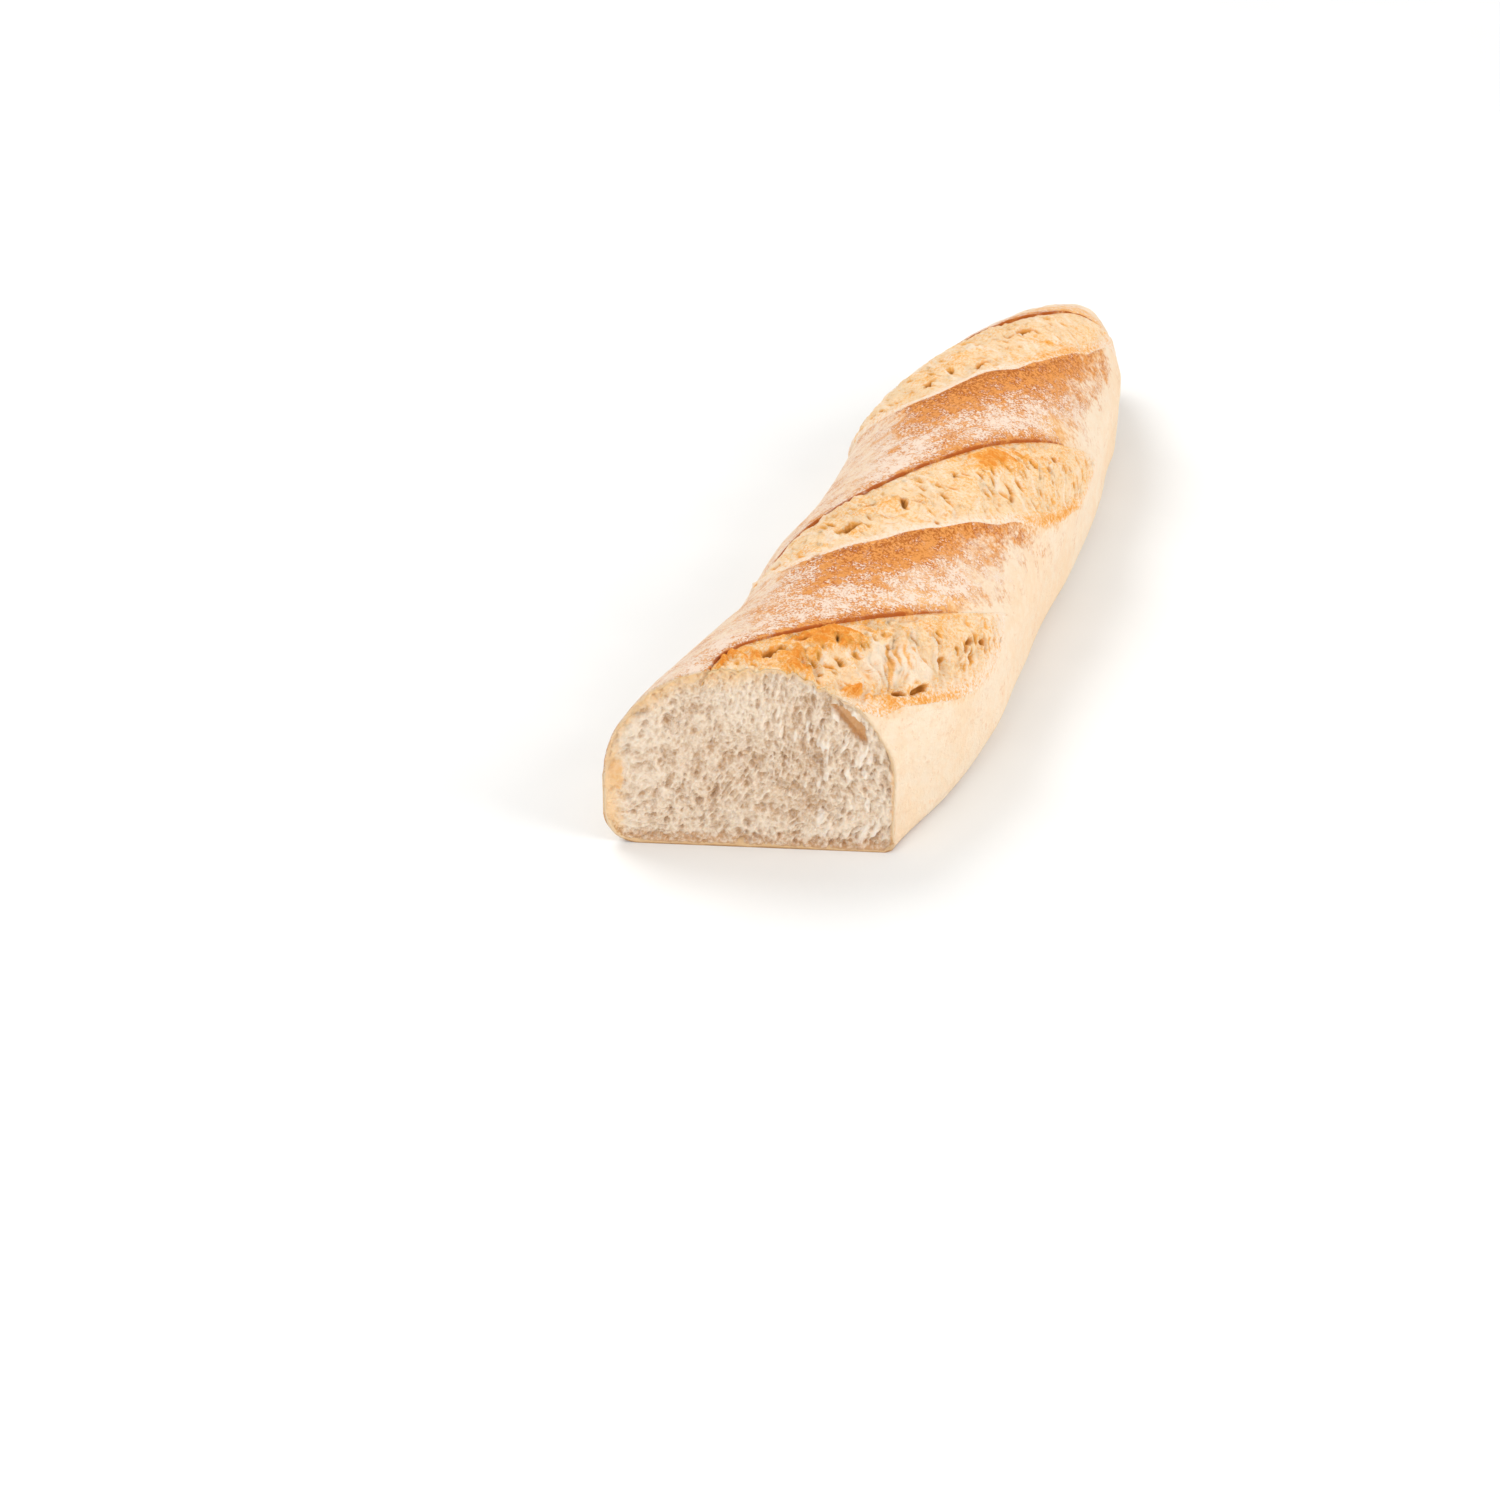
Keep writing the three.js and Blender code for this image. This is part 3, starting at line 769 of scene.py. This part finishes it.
def pocket_depth(x, z):
    """The pocket where the torn crust parted from the crumb."""
    c, s = math.cos(math.radians(POCKET["turn"])), math.sin(math.radians(POCKET["turn"]))
    a = ((x - POCKET["x"]) * c + (z - POCKET["z"]) * s) / POCKET["half_length"]
    b = (-(x - POCKET["x"]) * s + (z - POCKET["z"]) * c) / POCKET["half_width"]
    distance = np.hypot(a, b + 0.6 * a * a) + 0.3 * fractal(x / 2, z / 2, 81, 3)
    return POCKET["depth"] * (1 - smooth(distance, 0.6, 1.05))


def crumb_relief(x, z, edge):
    """Depth of the crumb below the cut plane, and the masks that colour it."""
    warp_x = x + 2.0 * noise(x / 12, z / 12, 91) + 0.5 * noise(x / 2.6, z / 2.6, 92)
    warp_z = z + 2.0 * noise(x / 12, z / 12, 93) + 0.5 * noise(x / 2.6, z / 2.6, 94)
    torn = smooth(x, -6, 18)
    lean = np.radians(STRAND_LEAN[0] + (STRAND_LEAN[1] - STRAND_LEAN[0]) * smooth(x, -30, 40))
    lengthwise = (warp_x - 5) * np.cos(lean) + (warp_z - 12) * np.sin(lean)
    sideways = -(warp_x - 5) * np.sin(lean) + (warp_z - 12) * np.cos(lean)
    depth = np.zeros(x.shape)
    for size, stretch, deep, share, seed in [(3.0, 1.7, 0.8, 0.22, 101), (1.9, 1.6, 0.8, 0.45, 103),
                                             (1.3, 1.5, 0.6, 0.65, 105), (0.85, 1.4, 0.35, 0.8, 107)]:
        nearest, number = cells(lengthwise / size / stretch, sideways / size, seed)
        radius = 0.28 + 0.3 * number / share
        bowl = np.sqrt(np.clip(1 - (nearest / radius) ** 2, 0, 1))
        depth += deep * bowl * (number < share) * (0.4 + 0.6 * number / share)
    strands = fractal(sideways / 1.5, lengthwise / 14, 109, 3)
    open_grain = smooth(fractal(x / 12, z / 12, 119, 2) - (z - 20) / 40 + x / 90, -0.6, 0.5)
    depth = depth * (0.78 + 0.32 * open_grain) + torn * smooth(z, 3, 14) * 0.7 * (strands + 0.2)
    shreds = smooth(fractal(lengthwise / 4.5, sideways / 1.5, 113, 2), 0.2, 0.6) * (0.4 + 0.6 * torn)
    depth -= 0.55 * shreds
    depth += 0.6 * fractal(x / 13, z / 13, 111, 3) + 0.2 * fractal(x / 0.9, z / 0.9, 117, 2)
    calm = smooth(edge, 0.0, 1.5)
    patch = np.hypot((x - LEFT_PATCH["x"]) / LEFT_PATCH["half_width"],
                     (z - LEFT_PATCH["z"]) / LEFT_PATCH["half_height"])
    left_wall = 1 - smooth(patch + 0.25 * noise(x, z / 2, 115), 0.7, 1.15)
    depth = (depth + 0.4) * (0.08 + 0.92 * calm) * (1 - 0.6 * left_wall)
    pocket = pocket_depth(x, z) * smooth(edge, 0.3, 2.2)
    depth = np.maximum(depth, 0) * (1 - smooth(pocket, 0.3, 2)) + pocket
    # The first mask comes from the pores' depth and darkens the crumb in its deeper pores: painted shade.
    masks = np.stack([np.clip(depth / 2.4, 0, 1), np.clip(shreds, 0, 1), left_wall,
                      np.clip(pocket / 2.5, 0, 1)], -1)
    return depth, masks


def crumb_span():
    """Across the cut face: X, and the crumb's lower and upper edge there."""
    outline_x, outline_z = cut_outline()
    left = np.argmin(outline_x)
    right = np.argmax(outline_x)
    x = np.linspace(outline_x[left] + 0.05, outline_x[right] - 0.05, CRUMB_COLUMNS)
    upper = np.interp(x, np.maximum.accumulate(outline_x[left:right + 1]), outline_z[left:right + 1])
    lower_x = np.concatenate([outline_x[right:], outline_x[:left + 1]])
    lower_z = np.concatenate([outline_z[right:], outline_z[:left + 1]])
    order = np.argsort(lower_x)
    return x, np.interp(x, lower_x[order], lower_z[order]), upper


def crumb_rims(x, z, lower, upper):
    """Masks of the crumb's rims: toasted at the top left, right, base and top. The base mask is the brown
    bottom crust and, reaching higher, painted shade from the floor.
    """
    near_top = 1 - smooth(upper - z, 0.3, 8)
    near_left = 1 - smooth(x - x.min(), 0.5, 8)
    near_right = 1 - smooth(x.max() - x, 0.2, 2.2)
    # Brown bottom crust within 1.8 mm of the base, and painted shade from the floor fading out 7 mm above
    # it
    base_crust_and_shade = np.maximum(1 - smooth(z - lower, 0.3, 1.8), 0.7 - 0.7 * smooth(z - lower, 1.2, 7))
    toasted = np.maximum(near_top * (1 - smooth(x, -8, 10)), near_left)
    return np.stack([toasted, near_right, base_crust_and_shade, near_top], -1)


def make_crumb(material):
    x, lower, upper = crumb_span()
    share = np.linspace(0, 1, CRUMB_ROWS)[:, None]
    window = np.ones(2 * LEVEL_REACH + 1) / (2 * LEVEL_REACH + 1)
    level = np.convolve(np.pad(upper, LEVEL_REACH, mode="edge"), window, "valid")
    z = lower + (level - lower) * share + (upper - level) * share ** 12
    x = np.broadcast_to(x, z.shape)
    edge = np.minimum(np.minimum(z - lower, upper - z), np.minimum(x - x.min(), x.max() - x))
    depth, tone = crumb_relief(x, z, edge)
    masks = np.concatenate([tone, crumb_rims(x, z, lower, upper)], -1)
    face = np.array([CUT_SLOPE, -1, 0]) / math.hypot(CUT_SLOPE, 1)
    plane = np.stack([x, CUT_SLOPE * x, z], -1)
    points = plane - face * (CRUMB_BEHIND_CUT + depth)[..., None]

    shell = Shell()
    ids = shell.add(points, masks)
    shell.grid(ids, (0.0, 0.06, 1.0, 1.0))
    forward = np.broadcast_to([0.0, -1.0, 0.0], points.shape)
    shell.close(ids, points, forward, masks, CRUMB_TUCKS)
    return shell.build("crumb", material, ["tone", "rims"])


# Materials

class Surface:
    """Builds one material's nodes. noise, sum, times, ramp and mix return an output socket."""

    def __init__(self, name):
        self.material = bpy.data.materials.new(name)
        self.material.use_nodes = True
        self.tree = self.material.node_tree
        self.shader = self.tree.nodes["Principled BSDF"]
        self.place = self.node("ShaderNodeTexCoord").outputs["Object"]

    def node(self, kind, **settings):
        made = self.tree.nodes.new(kind)
        for key, value in settings.items():
            setattr(made, key, value)
        return made

    def put(self, socket, value):
        if isinstance(value, bpy.types.NodeSocket):
            self.tree.links.new(value, socket)
        else:
            socket.default_value = value

    def noise(self, size, detail=3, roughness=0.55):
        """Noise with features of about this size in millimetres."""
        made = self.node("ShaderNodeTexNoise")
        self.put(made.inputs["Vector"], self.place)
        self.put(made.inputs["Scale"], 1 / (size * MM))
        self.put(made.inputs["Detail"], detail)
        self.put(made.inputs["Roughness"], roughness)
        return made.outputs["Fac"]

    def masks(self, name):
        """The four masks of a colour attribute."""
        read = self.node("ShaderNodeAttribute", attribute_name=name)
        parts = self.node("ShaderNodeSeparateColor")
        self.put(parts.inputs[0], read.outputs["Color"])
        return [*parts.outputs, read.outputs["Alpha"]]

    def sum(self, total, *terms):
        """The first value plus every other one times its weight."""
        for value, weight in terms:
            made = self.node("ShaderNodeMath", operation="MULTIPLY_ADD")
            self.put(made.inputs[0], value)
            self.put(made.inputs[1], weight)
            self.put(made.inputs[2], total)
            total = made.outputs[0]
        return total

    def times(self, first, second):
        made = self.node("ShaderNodeMath", operation="MULTIPLY")
        self.put(made.inputs[0], first)
        self.put(made.inputs[1], second)
        return made.outputs[0]

    def ramp(self, value, low, high, start=0.0, end=1.0):
        made = self.node("ShaderNodeMapRange", interpolation_type="SMOOTHSTEP")
        limits = {"Value": value, "From Min": low, "From Max": high, "To Min": start, "To Max": end}
        for key, amount in limits.items():
            self.put(made.inputs[key], amount)
        return made.outputs[0]

    def mix(self, share, first, second):
        made = self.node("ShaderNodeMix", data_type="RGBA")
        self.put(made.inputs[0], share)
        self.put(made.inputs[6], first)
        self.put(made.inputs[7], second)
        return made.outputs[2]

    def finish(self, colour, roughness, height, depth, strength=1.0):
        """Connects the colour, the roughness and a bump of this depth in millimetres."""
        self.put(self.shader.inputs["Base Color"], colour)
        self.put(self.shader.inputs["Roughness"], roughness)
        self.put(self.shader.inputs["Specular IOR Level"], 0.2)
        bump = self.node("ShaderNodeBump")
        self.put(bump.inputs["Strength"], strength)
        self.put(bump.inputs["Distance"], depth * MM)
        self.put(bump.inputs["Height"], height)
        self.put(self.shader.inputs["Normal"], bump.outputs[0])
        return self.material


def soften(surface, weight, reach):
    """Light that spreads this many millimetres under the surface."""
    inputs = surface.shader.inputs
    inputs["Subsurface Weight"].default_value = weight
    inputs["Subsurface Radius"].default_value = (1.0, 0.75, 0.5)
    inputs["Subsurface Scale"].default_value = reach * MM


CREAM = (0.86, 0.70, 0.525, 1)
CREAM_WARM = (0.86, 0.64, 0.43, 1)
GOLD = (0.84, 0.46, 0.17, 1)
BROWN_LIGHT = (0.74, 0.305, 0.072, 1)
BROWN = (0.50, 0.13, 0.01, 1)
BROWN_DARK = (0.40, 0.10, 0.008, 1)
EAR_LINE = (0.46, 0.10, 0.008, 1)
FLOUR = (0.83, 0.60, 0.42, 1)
FLOUR_WHITE = (0.88, 0.73, 0.60, 1)
# Brown of the bottom crust, also used for the painted shade at the crumb's base
BASE_BROWN_AND_SHADE = (0.52, 0.26, 0.10, 1)
RIM_BROWN = (0.82, 0.57, 0.32, 1)
TORN_PALE = (0.86, 0.66, 0.44, 1)
TORN_CREAM = (0.84, 0.55, 0.28, 1)
TORN_WHITE = (0.87, 0.71, 0.54, 1)
TORN_ORANGE = (0.85, 0.385, 0.065, 1)
TORN_DEEP = (0.74, 0.225, 0.015, 1)
# Brown in the deepest holes and pores: painted shade
HOLE_SHADE_BROWN = (0.50, 0.20, 0.025, 1)
CRUMB_LIGHT = (0.82, 0.67, 0.515, 1)
# Darker crumb colour for the deeper pores: painted shade
CRUMB_PORE_SHADE = (0.58, 0.375, 0.22, 1)
CRUMB_WHITE = (0.87, 0.79, 0.70, 1)
CRUMB_TOAST = (0.85, 0.56, 0.29, 1)
POCKET_TAN = (0.78, 0.45, 0.19, 1)


def crust_material():
    s = Surface("crust_baked")
    browned, flour, line, dark = s.masks("tone")
    golden, base, rim, streak = s.masks("tint")
    blotch = s.ramp(s.noise(7, 4, 0.6), 0.3, 0.7)
    patches = s.ramp(s.noise(3, 4, 0.6), 0.32, 0.68)
    grain = s.ramp(s.noise(1.2, 4, 0.7), 0.33, 0.67)
    fine = s.ramp(s.noise(0.8, 3, 0.75), 0.4, 0.62)
    specks = s.ramp(s.noise(0.6, 2, 0.7), 0.42, 0.6)
    wide = s.noise(25, 3)
    cream = s.mix(s.ramp(s.sum(wide, (patches, 0.25)), 0.42, 0.85), CREAM, CREAM_WARM)
    cream = s.mix(s.ramp(s.sum(streak, (grain, 0.5)), 0.85, 1.3, 0, 0.2), cream, GOLD)
    gold_share = s.ramp(s.sum(golden, (blotch, 0.35), (grain, 0.3)), 0.55, 1.25)
    colour = s.mix(gold_share, cream, GOLD)
    brown_share = s.ramp(s.sum(browned, (blotch, 0.4), (grain, 0.4)), 0.5, 1.15)
    brown_kind = s.mix(s.ramp(s.sum(patches, (streak, 0.8), (fine, 1.1)), 0.8, 2.2), BROWN_LIGHT, BROWN)
    colour = s.mix(brown_share, colour, brown_kind)
    dark_share = s.ramp(s.sum(dark, (patches, 0.3), (grain, 0.3), (fine, 0.6)), 0.95, 1.8, 0, 0.9)
    colour = s.mix(dark_share, colour, BROWN_DARK)
    haze = s.ramp(s.sum(flour, (patches, 0.4), (grain, 0.4)), 0.7, 1.5, 0, 0.5)
    colour = s.mix(haze, colour, FLOUR)
    powder = s.sum(flour, (patches, 0.55), (grain, 0.3), (specks, 0.55), (streak, 0.4))
    flour_share = s.ramp(powder, 1.33, 1.75, 0, 0.85)
    colour = s.mix(flour_share, colour, FLOUR_WHITE)
    line_share = s.ramp(s.sum(line, (grain, 0.3)), 0.45, 0.95, 0, 0.95)
    colour = s.mix(line_share, colour, EAR_LINE)
    colour = s.mix(s.ramp(s.sum(base, (blotch, 0.3)), 0.5, 1.1), colour, BASE_BROWN_AND_SHADE)
    colour = s.mix(s.times(rim, 0.8), colour, RIM_BROWN)
    roughness = s.ramp(s.sum(flour_share, (blotch, 0.3)), 0.1, 1.2, 0.62, 0.92)
    height = s.sum(grain, (fine, 0.5), (flour_share, 0.5))
    soften(s, 0.08, 1.2)
    return s.finish(colour, roughness, height, 0.22, 0.7)


def torn_material():
    s = Surface("crust_torn")
    toast, hollow_shade, whiteness, inside = s.masks("tone")
    blotch = s.ramp(s.noise(4, 4, 0.6), 0.3, 0.7)
    grain = s.ramp(s.noise(1.2, 4, 0.65), 0.33, 0.67)
    fine = s.ramp(s.noise(0.7, 3, 0.75), 0.4, 0.62)
    pale = s.mix(s.sum(s.times(blotch, 0.3), (grain, 0.3), (fine, 0.4)), TORN_PALE, TORN_CREAM)
    pale = s.mix(s.ramp(s.sum(whiteness, (grain, 0.3)), 0.3, 1.1, 0, 0.9), pale, TORN_WHITE)
    edge = s.mix(s.sum(s.times(grain, 0.5), (fine, 0.5)), FLOUR_WHITE, CREAM_WARM)
    colour = s.mix(inside, edge, pale)
    toast_share = s.ramp(s.sum(toast, (blotch, 0.2), (grain, 0.25), (fine, 0.45)), 0.5, 1.2, 0, 0.92)
    colour = s.mix(toast_share, colour, TORN_ORANGE)
    deep_share = s.ramp(s.sum(toast, (blotch, 0.2), (grain, 0.4), (fine, 0.3)), 1.0, 1.6, 0, 0.9)
    colour = s.mix(deep_share, colour, TORN_DEEP)
    # Orange, then brown, in the holes, pores and valleys between fibres: painted shade.
    colour = s.mix(s.ramp(s.sum(hollow_shade, (grain, 0.1)), 0.08, 0.45, 0, 0.85), colour, TORN_ORANGE)
    colour = s.mix(s.ramp(s.sum(hollow_shade, (grain, 0.2)), 0.35, 0.95, 0, 0.9), colour, HOLE_SHADE_BROWN)
    roughness = s.ramp(blotch, 0.0, 1.0, 0.62, 0.85)
    soften(s, 0.2, 1.5)
    return s.finish(colour, roughness, s.sum(grain, (fine, 0.5)), 0.25, 0.7)


def crumb_material():
    s = Surface("crumb_open")
    depth, shreds, left_wall, pocket = s.masks("tone")
    toasted, right_rim, base_crust_and_shade_mask, top_rim = s.masks("rims")
    blotch = s.ramp(s.noise(6, 4, 0.6), 0.3, 0.7)
    grain = s.ramp(s.noise(1.1, 4, 0.65), 0.33, 0.67)
    fine = s.ramp(s.noise(0.9, 3, 0.7), 0.4, 0.66)
    # Deeper pores get the darker crumb colour: painted shade.
    colour = s.mix(s.ramp(s.sum(depth, (grain, 0.3)), 0.15, 0.9), CRUMB_LIGHT, CRUMB_PORE_SHADE)
    colour = s.mix(s.times(fine, 0.4), colour, CRUMB_WHITE)
    colour = s.mix(s.ramp(s.sum(shreds, (grain, 0.5)), 0.6, 1.4, 0, 0.7), colour, CRUMB_WHITE)
    toast_share = s.ramp(s.sum(toasted, (blotch, 0.35), (grain, 0.25)), 0.35, 1.35, 0, 0.85)
    colour = s.mix(toast_share, colour, CRUMB_TOAST)
    colour = s.mix(s.times(left_wall, s.ramp(grain, 0, 1, 0.45, 0.75)), colour, POCKET_TAN)
    colour = s.mix(s.ramp(s.sum(right_rim, (blotch, 0.3), (grain, 0.3)), 0.6, 1.35, 0, 0.7), colour, GOLD)
    # Brown bottom crust along the base, and painted shade from the floor higher up
    colour = s.mix(s.ramp(s.sum(base_crust_and_shade_mask, (grain, 0.4)), 0.5, 1.2, 0, 0.8), colour, BASE_BROWN_AND_SHADE)
    colour = s.mix(s.ramp(s.sum(pocket, (grain, 0.3)), 0.4, 1.2, 0, 0.7), colour, POCKET_TAN)
    colour = s.mix(s.ramp(s.sum(top_rim, (grain, 0.06)), 0.94, 1.04, 0, 0.7), colour, CRUMB_TOAST)
    roughness = s.ramp(grain, 0.0, 1.0, 0.78, 0.95)
    soften(s, 0.3, 1.0)
    return s.finish(colour, roughness, s.sum(grain, (s.noise(0.5, 2), 0.6)), 0.2, 0.5)


# Camera, light and floor

CAMERA_AT = (227.1, -832.0, 487.0)
CAMERA_AZIMUTH = math.radians(18.51)
CAMERA_TILT = math.radians(32.04)
CAMERA_LENS = 83.62
CAMERA_SENSOR = 36

# Floor and lamps, in metres and watts: where each lamp is, its size and its power
FLOOR_HALF = 3.0
WORLD_STRENGTH = 0.63
LAMP_TARGET = (0, 0, 0.03)
LAMPS = dict(
    key=((-0.75, 0.35, 1.15), 0.8, 9.4),
    fill=((1.1, -0.1, 0.7), 0.9, 9),
    front=((-0.3, -1.3, 0.7), 0.9, 5),
)


def add_camera():
    data = bpy.data.cameras.new("camera")
    data.lens = CAMERA_LENS
    data.sensor_width = CAMERA_SENSOR
    data.clip_end = 20
    camera = add_object("camera", data)
    camera.location = np.array(CAMERA_AT) * MM
    level = math.cos(CAMERA_TILT)
    look = Vector((-math.sin(CAMERA_AZIMUTH) * level, math.cos(CAMERA_AZIMUTH) * level,
                   -math.sin(CAMERA_TILT)))
    camera.rotation_euler = look.to_track_quat("-Z", "Y").to_euler()
    bpy.context.scene.camera = camera


def add_lamp(name, location, size, power):
    data = bpy.data.lights.new(name, "AREA")
    data.shape = "DISK"
    data.size = size
    data.energy = power
    lamp = add_object(name, data)
    lamp.location = location
    lamp.rotation_euler = (Vector(LAMP_TARGET) - Vector(location)).to_track_quat("-Z", "Y").to_euler()


def add_floor():
    s = Surface("floor_pale")
    tone = s.mix(s.ramp(s.noise(60, 2), 0.3, 0.7), (0.83, 0.83, 0.82, 1), (0.86, 0.86, 0.85, 1))
    material = s.finish(tone, 0.7, s.noise(3, 2), 0.02, 0.2)
    mesh = bpy.data.meshes.new("floor")
    corners = [(-1, -1), (1, -1), (1, 1), (-1, 1)]
    mesh.from_pydata([(x * FLOOR_HALF, y * FLOOR_HALF, 0) for x, y in corners], [], [(0, 1, 2, 3)])
    mesh.materials.append(material)
    add_object("floor", mesh)


def add_surroundings():
    world = bpy.data.worlds.new("studio")
    world.use_nodes = True
    background = world.node_tree.nodes["Background"].inputs
    background["Color"].default_value = (1, 1, 1, 1)
    background["Strength"].default_value = WORLD_STRENGTH
    bpy.context.scene.world = world
    for name, (location, size, power) in LAMPS.items():
        add_lamp(name, location, size, power)
    bpy.context.scene.view_settings.view_transform = "Standard"


def loaf_centre():
    """Place of the row's origin, the middle of the box's bottom, in the loaf's measures."""
    outlines = [ring(y)[1] for y in range(0, LOAF_LENGTH, 2)]
    widest = max(x.max() for x in outlines)
    narrowest = min(x.min() for x in outlines)
    return np.array([(widest + narrowest) / 2, LOAF_LENGTH - TIP_Y, 0.0])


ROW_ORIGIN = loaf_centre()

add_camera()
add_floor()
add_surroundings()
crust = make_crust(crust_material())
torn_surface = torn_material()
for score_number in range(len(SCORES)):
    make_torn(score_number, torn_surface)
make_crumb(crumb_material())
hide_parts("baguette")
